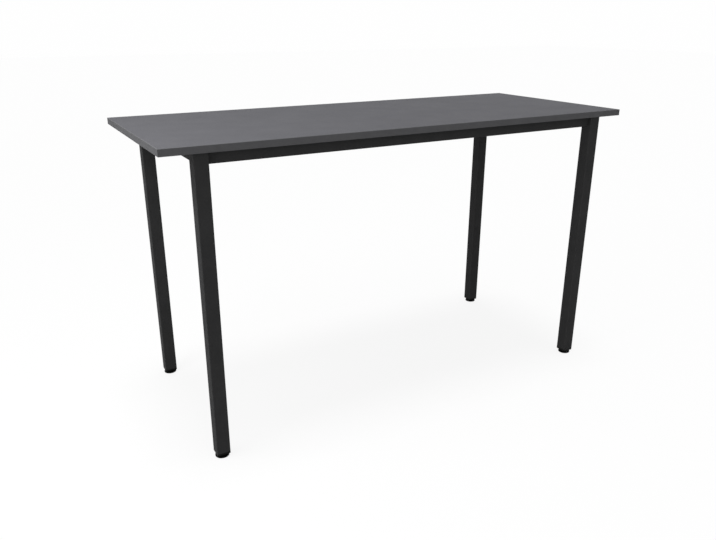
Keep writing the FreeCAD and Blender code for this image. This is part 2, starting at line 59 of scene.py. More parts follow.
def add(tree, kind, inputs=(), **settings):
    """Adds a node. inputs gives a socket, by name or number, its value or what feeds it."""
    node = tree.nodes.new(kind)
    for name, value in settings.items():
        setattr(node, name, value)
    for name, value in dict(inputs).items():
        for source in value if isinstance(value, list) else [value]:
            if isinstance(source, bpy.types.NodeSocket):
                tree.links.new(source, node.inputs[name])
            else:
                node.inputs[name].default_value = source
    return node


def reckon(tree, operation, *numbers, clamp=False):
    """The result of one Math node."""
    node = add(tree, "ShaderNodeMath", dict(enumerate(numbers)), operation=operation, use_clamp=clamp)
    return node.outputs[0]


def vector_of(tree, x, y, z):
    """One vector out of three numbers."""
    return add(tree, "ShaderNodeCombineXYZ", {0: x, 1: y, 2: z}).outputs[0]


def new_tree(name, sizes):
    """A Geometry Nodes tree, what comes in by name, and the socket for its result."""
    tree = bpy.data.node_groups.new(name, "GeometryNodeTree")
    tree.interface.new_socket("Geometry", in_out="OUTPUT", socket_type="NodeSocketGeometry")
    for label, kind in sizes.items():
        tree.interface.new_socket(label, in_out="INPUT", socket_type=f"NodeSocket{kind}")
    given = tree.nodes.new("NodeGroupInput").outputs
    result = tree.nodes.new("NodeGroupOutput").inputs[0]
    return tree, given, result


def close_tree(tree, geometry, material, result):
    """Makes the instances real, smooths all but the sharp edges, and gives the piece its finish."""
    real = add(tree, "GeometryNodeRealizeInstances", {0: geometry})
    smooth = add(tree, "GeometryNodeSetShadeSmooth", {0: real.outputs[0], "Shade Smooth": True})
    angle = add(tree, "GeometryNodeInputMeshEdgeAngle").outputs[0]
    sharp = add(tree, "FunctionNodeCompare", {0: angle, 1: SHARP_ANGLE}, operation="GREATER_THAN")
    creased = add(
        tree, "GeometryNodeSetShadeSmooth",
        {0: smooth.outputs[0], 1: sharp.outputs[0], "Shade Smooth": False}, domain="EDGE",
    )
    finished = add(tree, "GeometryNodeSetMaterial", {0: creased.outputs[0], "Material": material})
    tree.links.new(finished.outputs[0], result)


def new_object(name, data):
    """An object in the scene."""
    thing = bpy.data.objects.new(name, data)
    bpy.context.scene.collection.objects.link(thing)
    return thing


def made(name, tree, values, edge=0):
    """Runs a tree and returns its result as a plain mesh, its sharp edges eased by that much."""
    piece = new_object(name, bpy.data.meshes.new(name))
    nodes = piece.modifiers.new("nodes", "NODES")
    nodes.node_group = tree
    for socket in tree.interface.items_tree:
        if socket.in_out == "INPUT" and socket.name in values:
            nodes[socket.identifier] = values[socket.name]
    if edge:
        easing = piece.modifiers.new("easing", "BEVEL")
        easing.width = edge
        easing.segments = 2
        easing.limit_method = "ANGLE"
        easing.angle_limit = math.radians(40)
        easing.use_clamp_overlap = True
    shading = piece.modifiers.new("shading", "WEIGHTED_NORMAL")
    shading.keep_sharp = True
    graph = bpy.context.evaluated_depsgraph_get()
    empty = piece.data
    piece.data = bpy.data.meshes.new_from_object(
        piece.evaluated_get(graph), preserve_all_data_layers=True, depsgraph=graph
    )
    piece.modifiers.clear()
    bpy.data.meshes.remove(empty)
    return piece


def new_finish(name, **constants):
    """A material, its tree and its shader, with the numbers that are the same all over it."""
    material = bpy.data.materials.new(name)
    material.use_nodes = True
    shader = material.node_tree.nodes["Principled BSDF"]
    for label, value in constants.items():
        shader.inputs[label.replace("_", " ")].default_value = value
    return material, material.node_tree, shader


def grain(tree, size, detail=2.0, stretch=(1, 1, 1)):
    """Cloudy noise with spots about as large as size, which may be stretched."""
    where = add(tree, "ShaderNodeTexCoord").outputs["Object"]
    if stretch != (1, 1, 1):
        scale = tuple(1 / share for share in stretch)
        where = add(tree, "ShaderNodeVectorMath", {0: where, 1: scale}, operation="MULTIPLY").outputs[0]
    noise = add(tree, "ShaderNodeTexNoise", {"Vector": where, "Scale": 1 / size, "Detail": detail})
    return noise.outputs["Fac"]


def spread(tree, value, low, high, to_low=0.0, to_high=1.0, smooth=False):
    """Maps a range of a value onto another range, and holds it at the ends."""
    node = add(
        tree, "ShaderNodeMapRange", {0: value, 1: low, 2: high, 3: to_low, 4: to_high},
        interpolation_type="SMOOTHSTEP" if smooth else "LINEAR",
    )
    return node.outputs[0]


def shades(tree, factor, *stops):
    """A run of colours, each given as its place and its red, green and blue."""
    ramp = add(tree, "ShaderNodeValToRGB", {0: factor})
    elements = ramp.color_ramp.elements
    while len(elements) < len(stops):
        elements.new(0.5)
    for element, (place, colour) in zip(elements, stops):
        element.position = place
        element.color = (*colour, 1)
    return ramp.outputs[0]


def mixed(tree, factor, first, second):
    """Two colours mixed, the second by the factor."""
    node = add(tree, "ShaderNodeMix", {0: factor, 6: first, 7: second}, data_type="RGBA")
    return node.outputs[2]


def relief(tree, shader, *layers):
    """Bumps on a shader. Each layer is a height and how far it stands up, in metres."""
    normal = None
    for height, distance in layers:
        bump = add(tree, "ShaderNodeBump", {"Height": height, "Distance": distance, "Strength": 1.0})
        if normal:
            tree.links.new(normal, bump.inputs["Normal"])
        normal = bump.outputs[0]
    tree.links.new(normal, shader.inputs["Normal"])


powder_coat, tree, shader = new_finish("powder_coat", Specular_IOR_Level=0.0125)
# The tube's own coordinates run from -1 to 1 across, upward and along it, so they tell where its edges are.
own = add(tree, "ShaderNodeAttribute", attribute_name="own").outputs["Vector"]
own = add(tree, "ShaderNodeVectorMath", {0: own}, operation="ABSOLUTE").outputs[0]
own = add(tree, "ShaderNodeSeparateXYZ", {0: own}).outputs
# Along the tube's corners the coat is lighter and smoother in patches: rubbed wear, with a painted sheen in
# the lighter colour.
corner = reckon(tree, "MINIMUM", own[0], own[1])
on_edge = spread(tree, corner, 0.86, 0.97, smooth=True)
patchy = spread(tree, grain(tree, 11 * MM, 3), 0.42, 0.66)
wear_and_sheen = reckon(tree, "MULTIPLY", on_edge, patchy)
cloud = grain(tree, 60 * MM, 3)
pebble = grain(tree, 0.9 * MM, 2)
speck = grain(tree, 0.35 * MM, 1)
coat_colour = shades(tree, cloud, (0.3, (0.042, 0.042, 0.0425)), (0.7, (0.050, 0.050, 0.0505)))
coat_colour = mixed(tree, spread(tree, speck, 0.45, 0.70, 0, 0.55), coat_colour, (0.066, 0.066, 0.067, 1))
coat_colour = mixed(tree, spread(tree, pebble, 0.30, 0.50, 0.50, 0), coat_colour, (0.030, 0.030, 0.0305, 1))
# Painted sheen and wear: the corners lighter in patches.
coat_colour = mixed(tree, reckon(tree, "MULTIPLY", wear_and_sheen, 0.35), coat_colour, (0.088, 0.088, 0.089, 1))
tree.links.new(coat_colour, shader.inputs["Base Color"])
coat_gloss = spread(tree, grain(tree, 25 * MM, 4), 0.3, 0.7, 0.50, 0.60)
coat_gloss = reckon(tree, "SUBTRACT", coat_gloss, reckon(tree, "MULTIPLY", wear_and_sheen, 0.10))
tree.links.new(coat_gloss, shader.inputs["Roughness"])
relief(tree, shader, (grain(tree, 4 * MM, 1), 0.03 * MM), (pebble, 0.09 * MM), (speck, 0.03 * MM))

TUBE_SIZES = ("Across", "Upward", "Wall", "Inner Corner", "Length")
tube, given, result = new_tree("Square tube", {size: "Float" for size in TUBE_SIZES})
middle_of_wall = add(
    tube, "GeometryNodeCurvePrimitiveQuadrilateral",
    {
        "Width": reckon(tube, "SUBTRACT", given["Across"], given["Wall"]),
        "Height": reckon(tube, "SUBTRACT", given["Upward"], given["Wall"]),
    },
)
bend = reckon(tube, "ADD", given["Inner Corner"], reckon(tube, "MULTIPLY", given["Wall"], 0.5))
bent = add(
    tube, "GeometryNodeFilletCurve",
    {"Curve": middle_of_wall.outputs[0], "Count": 8, "Radius": bend, "Limit Radius": True}, mode="POLY",
)
wall_section = add(
    tube, "GeometryNodeCurvePrimitiveQuadrilateral", {"Width": given["Wall"], "Height": given["Length"]}
)
swept = add(
    tube, "GeometryNodeCurveToMesh",
    {"Curve": bent.outputs[0], "Profile Curve": wall_section.outputs[0]},
)
half_sizes = vector_of(
    tube,
    reckon(tube, "MULTIPLY", given["Across"], 0.5),
    reckon(tube, "MULTIPLY", given["Upward"], 0.5),
    reckon(tube, "MULTIPLY", given["Length"], 0.5),
)
own_place = add(
    tube, "ShaderNodeVectorMath", {0: add(tube, "GeometryNodeInputPosition").outputs[0], 1: half_sizes},
    operation="DIVIDE",
)
marked = add(
    tube, "GeometryNodeStoreNamedAttribute",
    data_type="FLOAT_VECTOR", domain="POINT",
    inputs={"Geometry": swept.outputs[0], "Name": "own", "Value": own_place.outputs[0]},
)
tube.links.new(marked.outputs[0], result)


def tube_of(tree, given):
    """The square tube, with the sizes that the tree is given."""
    sizes = {size: given[size] for size in TUBE_SIZES}
    return add(tree, "GeometryNodeGroup", sizes, node_tree=tube).outputs[0]


leg_tree, given, result = new_tree(
    "Leg", {**{size: "Float" for size in TUBE_SIZES}, "Place": "Vector", "Coat": "Material"}
)
standing = add(
    leg_tree, "GeometryNodeTransform",
    {"Geometry": tube_of(leg_tree, given), "Translation": given["Place"]},
)
close_tree(leg_tree, standing.outputs[0], given["Coat"], result)

for corner_name in CORNERS:
    low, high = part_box(f"leg_{corner_name}")
    size = high - low
    leg = made(
        f"leg_tube_{corner_name}", leg_tree,
        {
            "Across": size.x, "Upward": size.y, "Wall": LEG_WALL, "Inner Corner": TUBE_INNER_CORNER,
            "Length": size.z, "Place": (low + high) / 2, "Coat": powder_coat,
        },
        edge=COATED_EDGE,
    )
    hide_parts(f"leg_{corner_name}")
    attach(leg, "frame")


# ---------------------------------------------------------------------------------------- rails
# Four 40 x 20 x 2 mm flat steel tubes on edge, drilled before they are powder-coated with the legs. Each
# slides over two tenons. Screws to the board pass the top wall, and are reached through the bottom wall.

RAIL_WALL = 2 * MM
SCREW_HOLE = 3.3 * MM
ACCESS_HOLE = 6 * MM
FIRST_TENON_SCREW = 18 * MM
TENON_SCREW_PITCH = 26 * MM

# The board's screws: four in a long rail, 420 mm apart, and two in an end rail, 342 mm apart.
BOARD_SCREWS = {
    "front": (4, 420 * MM), "rear": (4, 420 * MM), "left": (2, 342 * MM), "right": (2, 342 * MM),
}

# A rail is swept upright, then laid down with its drilled wall towards the middle of the table.
RAIL_TURN = {
    side: (math.pi / 2, 0, math.radians(angle))
    for side, angle in {"left": 0, "front": 90, "right": 180, "rear": 270}.items()
}

rail_tree, given, result = new_tree(
    "Drilled rail",
    {
        **{size: "Float" for size in TUBE_SIZES},
        "Board Screws": "Int", "Board Screw Pitch": "Float", "Screw Hole": "Float", "Access Hole": "Float",
        "First Tenon Screw": "Float", "Tenon Screw Pitch": "Float",
        "Place": "Vector", "Turn": "Rotation", "Coat": "Material",
    },
)


def row_of(tree, count, first, pitch):
    """Points in a row along Z."""
    row = add(
        tree, "GeometryNodeMeshLine",
        {"Count": count, "Start Location": first, "Offset": vector_of(tree, 0, 0, pitch)}, mode="OFFSET",
    )
    return row.outputs[0]


def drills(tree, rows, radius, depth, turn):
    """A drill at each point, as wide as the hole and turned to face the wall that it goes through."""
    drill = add(tree, "GeometryNodeMeshCylinder", {"Vertices": 32, "Radius": radius, "Depth": depth})
    placed = add(
        tree, "GeometryNodeInstanceOnPoints", {0: rows, "Instance": drill.outputs[0], "Rotation": turn}
    )
    return placed.outputs[0]


def tenon_screw_places(tree, given):
    """Places of the two tenon screws at each end, on a side wall of a rail that runs along Z."""
    wall_face = reckon(tree, "MULTIPLY", given["Across"], 0.5)
    half_length = reckon(tree, "MULTIPLY", given["Length"], 0.5)
    outer = reckon(tree, "SUBTRACT", half_length, given["First Tenon Screw"])
    inward = reckon(tree, "MULTIPLY", given["Tenon Screw Pitch"], -1)
    far_pair = row_of(tree, 2, vector_of(tree, wall_face, 0, outer), inward)
    near_start = vector_of(tree, wall_face, 0, reckon(tree, "MULTIPLY", outer, -1))
    near_pair = row_of(tree, 2, near_start, given["Tenon Screw Pitch"])
    return add(tree, "GeometryNodeJoinGeometry", {0: [far_pair, near_pair]}).outputs[0]


top_face = reckon(rail_tree, "MULTIPLY", given["Upward"], 0.5)
bottom_face = reckon(rail_tree, "MULTIPLY", top_face, -1)
# Each drill is centred on the tube's outer face. It passes that wall and stops short of the one opposite.
depth = reckon(rail_tree, "MULTIPLY", given["Wall"], 3)
screw_count, screw_pitch = given["Board Screws"], given["Board Screw Pitch"]
pitches_back = reckon(rail_tree, "MULTIPLY", reckon(rail_tree, "SUBTRACT", screw_count, 1), -0.5)
row_start = reckon(rail_tree, "MULTIPLY", pitches_back, screw_pitch)
top_row = row_of(rail_tree, screw_count, vector_of(rail_tree, 0, top_face, row_start), screw_pitch)
low_row = row_of(rail_tree, screw_count, vector_of(rail_tree, 0, bottom_face, row_start), screw_pitch)
tenon_places = tenon_screw_places(rail_tree, given)
drilled = add(
    rail_tree, "GeometryNodeMeshBoolean",
    {
        "Mesh 1": tube_of(rail_tree, given),
        "Mesh 2": [
            drills(rail_tree, top_row, given["Screw Hole"], depth, (math.pi / 2, 0, 0)),
            drills(rail_tree, low_row, given["Access Hole"], depth, (math.pi / 2, 0, 0)),
            drills(rail_tree, tenon_places, given["Screw Hole"], depth, (0, math.pi / 2, 0)),
        ],
    },
    operation="DIFFERENCE", solver="EXACT",
)
laid = add(
    rail_tree, "GeometryNodeTransform",
    {"Geometry": drilled.outputs[0], "Translation": given["Place"], "Rotation": given["Turn"]},
)
close_tree(rail_tree, laid.outputs[0], given["Coat"], result)

for side, (count, pitch) in BOARD_SCREWS.items():
    low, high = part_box(f"rail_{side}")
    size = high - low
    rail = made(
        f"rail_tube_{side}", rail_tree,
        {
            "Across": min(size.x, size.y), "Upward": size.z, "Wall": RAIL_WALL,
            "Inner Corner": TUBE_INNER_CORNER, "Length": max(size.x, size.y),
            "Board Screws": count, "Board Screw Pitch": pitch,
            "Screw Hole": SCREW_HOLE, "Access Hole": ACCESS_HOLE,
            "First Tenon Screw": FIRST_TENON_SCREW, "Tenon Screw Pitch": TENON_SCREW_PITCH,
            "Place": (low + high) / 2, "Turn": RAIL_TURN[side], "Coat": powder_coat,
        },
        edge=COATED_EDGE,
    )
    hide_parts(f"rail_{side}")
    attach(rail, "frame")


# ---------------------------------------------------------------------------------------- tenons
# Eight solid steel bars, 15.8 x 35.8 x 60 mm, welded to the legs and left bare so that the rails slide on.
# Each is cross-drilled and tapped M6 twice. The heat of the weld has coloured the steel next to the leg.

TENONS = (
    "front_left", "front_right", "rear_right", "rear_left",
    "left_rear", "left_front", "right_front", "right_rear",
)
HEAT_REACH = 22 * MM

raw_steel, tree, shader = new_finish("raw_steel", Metallic=1.0)
place = add(tree, "ShaderNodeTexCoord").outputs["Object"]
place = add(tree, "ShaderNodeSeparateXYZ", {0: place}).outputs
# How far a point is from the leg's face, along the long rails and along the end rails.
leg_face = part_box("leg_rear_right")[0]
from_leg_x = reckon(tree, "SUBTRACT", leg_face.x, reckon(tree, "ABSOLUTE", place[0]))
from_leg_y = reckon(tree, "SUBTRACT", leg_face.y, reckon(tree, "ABSOLUTE", place[1]))
from_leg = reckon(tree, "MAXIMUM", from_leg_x, from_leg_y)
wavy = reckon(tree, "ADD", from_leg, spread(tree, grain(tree, 8 * MM, 3), 0.3, 0.7, -2 * MM, 2 * MM))
heat = spread(tree, wavy, 0, HEAT_REACH)
steel = shades(tree, grain(tree, 14 * MM, 4), (0.3, (0.30, 0.30, 0.31)), (0.7, (0.44, 0.44, 0.45)))
tint = shades(
    tree, heat, (0.0, (0.09, 0.10, 0.13)), (0.25, (0.14, 0.16, 0.33)), (0.45, (0.33, 0.20, 0.30)),
    (0.65, (0.50, 0.36, 0.16)), (0.95, (0.44, 0.42, 0.38)),
)
steel = mixed(tree, spread(tree, heat, 0.75, 1.0), tint, steel)
scale_spots = spread(tree, grain(tree, 2.5 * MM, 4), 0.60, 0.68)
steel = mixed(tree, reckon(tree, "MULTIPLY", scale_spots, 0.6), steel, (0.10, 0.09, 0.09, 1))
tree.links.new(steel, shader.inputs["Base Color"])
tree.links.new(spread(tree, grain(tree, 3 * MM, 3), 0.3, 0.7, 0.32, 0.55), shader.inputs["Roughness"])
relief(tree, shader, (grain(tree, 0.6 * MM, 3), 0.03 * MM))


def finish_node(name, finish):
    """Gives a CAD node, which stays as it is, its finish."""
    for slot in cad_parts[name].material_slots:
        slot.material = finish


for name in TENONS:
    finish_node(f"tenon_{name}", raw_steel)


# ---------------------------------------------------------------------------------------- rail screws
# Sixteen M6 x 12 button-head screws in black zinc, four for each rail. They go through the rail's inner wall
# into the tenon, and are tightened with a 4 mm hexagon key.

HEX_KEY = 4 * MM
HEAD_HEIGHT = 3.3 * MM
M6_PITCH = 1 * MM
RAIL_SCREW_LENGTH = 12 * MM

# Shares of a thread's pitch: all that stands above its root, its two flanks, and its run-out at an end.
ABOVE_ROOT = 0.80
FLANKS = 0.64
RUN_OUT = 0.6


def turned(rings, steps, loop=False, threads=()):
    """A mesh of rings about Z. Each is a height and a radius, which may change with the angle.

    steps are the angles in degrees. In a loop the last ring meets the first. threads are the heights
    between which the surface is shaded as one smooth skin."""
    angles = np.radians(steps)
    points = []
    for height, radius in rings:
        reach = radius(angles) if callable(radius) else np.full(len(angles), radius)
        ring_points = (reach * np.cos(angles), reach * np.sin(angles), np.full(len(angles), height))
        points.append(np.column_stack(ring_points))
    faces = []
    for ring in range(len(rings) if loop else len(rings) - 1):
        here, there = ring * len(angles), (ring + 1) % len(rings) * len(angles)
        for step in range(len(angles)):
            after = (step + 1) % len(angles)
            faces.append((here + step, here + after, there + after, there + step))
    mesh = bpy.data.meshes.new("turned")
    mesh.from_pydata(np.vstack(points).tolist(), [], faces)
    seal(mesh)
    if threads:
        heights = np.empty(len(mesh.vertices) * 3, np.float32)
        mesh.vertices.foreach_get("co", heights)
        heights = heights.reshape(-1, 3)[:, 2]
        ends = np.empty(len(mesh.edges) * 2, np.int32)
        mesh.edges.foreach_get("vertices", ends)
        ends = heights[ends.reshape(-1, 2)]
        sharp = mesh.attributes["sharp_edge"].data
        keep = np.empty(len(mesh.edges), bool)
        sharp.foreach_get("value", keep)
        for low, high in threads:
            keep &= ~((ends > low) & (ends < high)).all(axis=1)
        sharp.foreach_set("value", keep)
    return mesh


def seal(mesh):
    """Joins what lies in one place, turns the faces outwards and smooths all but the sharp edges."""
    work = bmesh.new()
    work.from_mesh(mesh)
    bmesh.ops.remove_doubles(work, verts=work.verts, dist=1e-7)
    bmesh.ops.recalc_face_normals(work, faces=work.faces)
    work.to_mesh(mesh)
    work.free()
    mesh.shade_smooth()
    mesh.set_sharp_from_angle(angle=SHARP_ANGLE)


def hexagon(across_flats, within=math.inf):
    """The radius of a hexagon at each angle, with its corners cut back to a circle of radius within."""
    def radius(angles):
        from_flat = np.mod(angles, math.pi / 3) - math.pi / 6
        return np.minimum(across_flats / 2 / np.cos(from_flat), within)
    return radius


def thread(low, high, pitch, root, crest, rings_each=8):
    """Rings of a right-hand thread, which fades in and out at its ends."""
    def at(height):
        def radius(angles):
            turn = np.mod(height / pitch - angles / (2 * math.pi), 1)
            flank = np.clip((ABOVE_ROOT - np.abs(turn - 0.5) * 2) / FLANKS, 0, 1)
            fade = np.clip(min(height - low, high - height) / (RUN_OUT * pitch), 0, 1)
            return root + (crest - root) * flank * fade
        return radius
    # The end lies just past high, so that a ring on it counts.
    return [(height, at(height)) for height in np.arange(low, high + pitch / 99, pitch / rings_each)]


def screw_pattern(name, length, finish):
    """A button-head M6 screw about Z, with its head up and its shank down from the origin."""
    shank = thread(-length + 0.6 * MM, -0.9 * MM, M6_PITCH, 2.42 * MM, 2.96 * MM, rings_each=6)
    rings = [(-length, 0), (-length, 2.05 * MM), (-length + 0.45 * MM, 2.4 * MM)] + shank
    rings += [
        (-0.45 * MM, 2.75 * MM), (0, 2.95 * MM), (0, 5.1 * MM), (0.15 * MM, 5.25 * MM),
        (0.85 * MM, 5.25 * MM), (1.0 * MM, 5.2 * MM), (1.5 * MM, 4.98 * MM), (2.0 * MM, 4.62 * MM),
        (2.5 * MM, 4.14 * MM), (2.9 * MM, 3.6 * MM), (3.15 * MM, 3.12 * MM), (3.27 * MM, 2.8 * MM),
        (HEAD_HEIGHT, 2.5 * MM), (3.16 * MM, hexagon(HEX_KEY + 0.1 * MM)), (3.0 * MM, hexagon(HEX_KEY)),
        (1.3 * MM, hexagon(HEX_KEY)), (1.3 * MM, 1.95 * MM), (1.0 * MM, 0.9 * MM), (0.85 * MM, 0),
    ]
    mesh = turned(rings, range(0, 360, 15), threads=[(-length + 0.5 * MM, -0.2 * MM)])
    mesh.materials.append(finish)
    return new_object(name, mesh)


def plating(name, dark, light, rough, stain):
    """A plated metal: cloudy colour, fine crystals, faint stains and a duller skin in patches."""
    material, tree, shader = new_finish(name, Metallic=1.0)
    colour = shades(tree, grain(tree, 3.5 * MM, 3), (0.3, dark), (0.7, light))
    stained = spread(tree, grain(tree, 1.6 * MM, 4), 0.55, 0.72, 0, 0.55)
    tree.links.new(mixed(tree, stained, colour, (*stain, 1)), shader.inputs["Base Color"])
    tree.links.new(spread(tree, grain(tree, 1.2 * MM, 3), 0.3, 0.7, *rough), shader.inputs["Roughness"])
    place = add(tree, "ShaderNodeTexCoord").outputs["Object"]
    crystals = add(tree, "ShaderNodeTexVoronoi", {"Vector": place, "Scale": 4000})
    relief(tree, shader, (crystals.outputs["Distance"], 0.006 * MM), (grain(tree, 0.5 * MM, 2), 0.008 * MM))
    return material


black_zinc = plating(
    "black_zinc", (0.035, 0.035, 0.038), (0.075, 0.075, 0.08), (0.34, 0.5), (0.05, 0.046, 0.06)
)

row_tree, given, result = new_tree(
    "Screws of a rail",
    {
        "Pattern": "Object", "Length": "Float", "Across": "Float",
        "First Tenon Screw": "Float", "Tenon Screw Pitch": "Float",
        "Place": "Vector", "Turn": "Rotation", "Finish": "Material", "Seed": "Int",
    },
)


def spun(tree, points, pattern, turn, seed):
    """A copy of the pattern at each point, each driven home to an angle of its own."""
    shape = add(tree, "GeometryNodeObjectInfo", {0: pattern}).outputs["Geometry"]
    placed = add(tree, "GeometryNodeInstanceOnPoints", {0: points, "Instance": shape, "Rotation": turn})
    angle = add(
        tree, "FunctionNodeRandomValue",
        {"Min": (0.0, 0.0, 0.0), "Max": (0.0, 0.0, 2 * math.pi), "Seed": seed}, data_type="FLOAT_VECTOR",
    )
    driven = add(
        tree, "GeometryNodeRotateInstances",
        {0: placed.outputs[0], "Rotation": angle.outputs[0], "Local Space": True},
    )
    return driven.outputs[0]


tenon_places = tenon_screw_places(row_tree, given)
driven = spun(row_tree, tenon_places, given["Pattern"], (0, math.pi / 2, 0), given["Seed"])
laid = add(
    row_tree, "GeometryNodeTransform",
    {"Geometry": driven, "Translation": given["Place"], "Rotation": given["Turn"]},
)
close_tree(row_tree, laid.outputs[0], given["Finish"], result)

pattern = screw_pattern("rail_screw_pattern", RAIL_SCREW_LENGTH, black_zinc)
for seed, side in enumerate(BOARD_SCREWS):
    low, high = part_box(f"rail_{side}")
    size = high - low
    screws = made(
        f"button_screws_{side}", row_tree,
        {
            "Pattern": pattern, "Length": max(size.x, size.y), "Across": min(size.x, size.y),
            "First Tenon Screw": FIRST_TENON_SCREW, "Tenon Screw Pitch": TENON_SCREW_PITCH,
            "Place": (low + high) / 2, "Turn": RAIL_TURN[side], "Finish": black_zinc, "Seed": seed,
        },
    )
    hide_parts(f"rail_screws_{side}")
    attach(screws, "frame")
bpy.data.objects.remove(pattern)


# ---------------------------------------------------------------------------------------- leg plugs
# Four moulded black nylon plugs pressed into the legs' lower ends. A 7 mm rim carries on the tube's square
# below its sawn end, a ribbed skirt grips inside it, and a boss in the middle holds the foot's nut.

PLUG_BORE = 5.4 * MM
PLUG_BOSS = 13 * MM
PLUG_WIDTH = 50 * MM
SKIRT_WIDTH = 45.9 * MM
SKIRT_HOLLOW = SKIRT_WIDTH - 5 * MM
NUT_POCKET = 17.2 * MM
NUT_DEPTH = 8 * MM
RIB_MIDDLE = 16.8 * MM
RIB_LENGTH = 8.2 * MM
RIB_WIDTH = 2 * MM


def rounded_square(width, corner):
    """The radius at each angle of a square with rounded corners."""
    def radius(angles):
        across, up = np.abs(np.cos(angles)), np.abs(np.sin(angles))
        flat = width / 2 / np.maximum(across, up)
        centre = width / 2 - corner
        reach = centre * (across + up)
        bent = reach + np.sqrt(np.maximum(reach**2 - 2 * centre**2 + corner**2, 0))
        return np.where(np.minimum(across, up) * flat > centre, bent, flat)
    return radius


# Closer together near a square's corners, and on each corner of a hexagon.
SQUARE_STEPS = [
    quarter + step for quarter in (0, 90, 180, 270)
    for step in (
        0, 7.5, 15, 22.5, 30, 36, 39.5, 41.4, 42.6, 43.8, 45, 46.2, 47.4, 48.6, 50.5, 54, 60, 67.5, 75, 82.5
    )
]


def stand(name, mesh, finish, slot_name, body, *nodes):
    """Makes a mesh a piece of the table that rides a body and stands for its CAD nodes."""
    mesh.name = name
    mesh.materials.append(finish)
    piece = new_object(name, mesh)
    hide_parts(*nodes)
    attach(piece, body)


def merged(mesh, addition):
    """A closed mesh and what is added to it, as one closed skin."""
    added_mesh = bpy.data.meshes.new("addition")
    addition.to_mesh(added_mesh)
    addition.free()
    added = new_object("addition", added_mesh)
    whole = new_object("whole", mesh)
    joining = whole.modifiers.new("joining", "BOOLEAN")
    joining.operation = "UNION"
    joining.solver = "EXACT"
    joining.object = added
    result = bpy.data.meshes.new_from_object(whole.evaluated_get(bpy.context.evaluated_depsgraph_get()))
    bpy.data.objects.remove(whole)
    bpy.data.objects.remove(added)
    seal(result)
    return result


def middle_of(node):
    """The middle of a node seen from above, on the floor."""
    low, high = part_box(node)
    return Matrix.Translation(((low.x + high.x) / 2, (low.y + high.y) / 2, 0))


def moulding(name, dark, light, rough, gloss, bump, dust):
    """A moulded plastic or rubber: spark-eroded grain, flow marks, and dust that lies in patches."""
    material, tree, shader = new_finish(name, Specular_IOR_Level=gloss)
    colour = shades(tree, grain(tree, 18 * MM, 3), (0.3, dark), (0.7, light))
    dusty = spread(tree, grain(tree, 5 * MM, 5), 0.52, 0.75, 0, 0.30)
    tree.links.new(mixed(tree, dusty, colour, (*dust, 1)), shader.inputs["Base Color"])
    tree.links.new(spread(tree, grain(tree, 6 * MM, 4), 0.3, 0.7, *rough), shader.inputs["Roughness"])
    relief(tree, shader, (grain(tree, 0.45 * MM, 3), bump), (grain(tree, 9 * MM, 1), 0.02 * MM))
    return material


black_nylon = moulding(
    "black_nylon", (0.003, 0.003, 0.003), (0.006, 0.006, 0.006), (0.45, 0.60), 0.06, 0.03 * MM,
    (0.010, 0.010, 0.0095),
)

low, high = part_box("leg_plug_front_left")
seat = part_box("leg_front_left")[0].z
plug_body = turned(
    [
        (low.z, PLUG_BORE + 0.4 * MM), (low.z, rounded_square(PLUG_WIDTH - 1.2 * MM, 2.4 * MM)),
        (low.z + 0.15 * MM, rounded_square(PLUG_WIDTH - 0.5 * MM, 2.75 * MM)),
        (low.z + 0.5 * MM, rounded_square(PLUG_WIDTH, 3 * MM)),
        (seat - 0.2 * MM, rounded_square(PLUG_WIDTH, 3 * MM)),
        (seat, rounded_square(PLUG_WIDTH - 0.4 * MM, 2.8 * MM)),
        (seat, rounded_square(SKIRT_WIDTH, 1 * MM)),
        (high.z - 1.5 * MM, rounded_square(SKIRT_WIDTH, 1 * MM)),
        (high.z, rounded_square(SKIRT_WIDTH - 1.3 * MM, 0.5 * MM)),
        (high.z, rounded_square(SKIRT_HOLLOW, 0.2 * MM)), (seat, rounded_square(SKIRT_HOLLOW, 0.2 * MM)),
        (seat, PLUG_BOSS + 0.5 * MM), (seat + 0.5 * MM, PLUG_BOSS),
        (high.z - 0.4 * MM, PLUG_BOSS), (high.z, PLUG_BOSS - 0.4 * MM),
        (high.z, hexagon(NUT_POCKET + 0.6 * MM)), (high.z - 0.5 * MM, hexagon(NUT_POCKET)),
        (high.z - NUT_DEPTH, hexagon(NUT_POCKET)), (high.z - NUT_DEPTH, PLUG_BORE),
        (low.z + 0.4 * MM, PLUG_BORE),
    ],
    SQUARE_STEPS, loop=True,
)
ribs = bmesh.new()
rib_place = Matrix.Translation((RIB_MIDDLE, 0, (seat + high.z) / 2 - 0.3 * MM))
rib_size = Matrix.Diagonal((RIB_LENGTH, RIB_WIDTH, high.z - seat - 0.4 * MM, 1))
for quarter in range(4):
    turn = Matrix.Rotation(quarter * math.pi / 2, 4, "Z")
    bmesh.ops.create_cube(ribs, size=1, matrix=turn @ rib_place @ rib_size)
plug_mesh = merged(plug_body, ribs)

for corner_name in CORNERS:
    mesh = plug_mesh.copy()
    mesh.transform(middle_of(f"leg_plug_{corner_name}"))
    stand(f"leg_end_plug_{corner_name}", mesh, black_nylon, "black_nylon", "frame",
          f"leg_plug_{corner_name}")


# ---------------------------------------------------------------------------------------- foot nuts
# Four M10 hexagon nuts, 17 mm across flats and 8 mm thick, in bright zinc. Each is pressed into its plug's
# boss before the plug goes into the leg.

NUT_WIDTH = 17 * MM
M10_PITCH = 1.5 * MM
EVEN_STEPS = range(0, 360, 10)
# How far from either face of a nut, and the radius that its corners are cut back to there.
NUT_CHAMFER = ((0.3 * MM, 8.62 * MM), (0.6 * MM, 9.15 * MM), (1.0 * MM, math.inf))

bright_zinc = plating(
    "bright_zinc", (0.42, 0.43, 0.45), (0.58, 0.60, 0.62), (0.28, 0.45), (0.46, 0.44, 0.38)
)


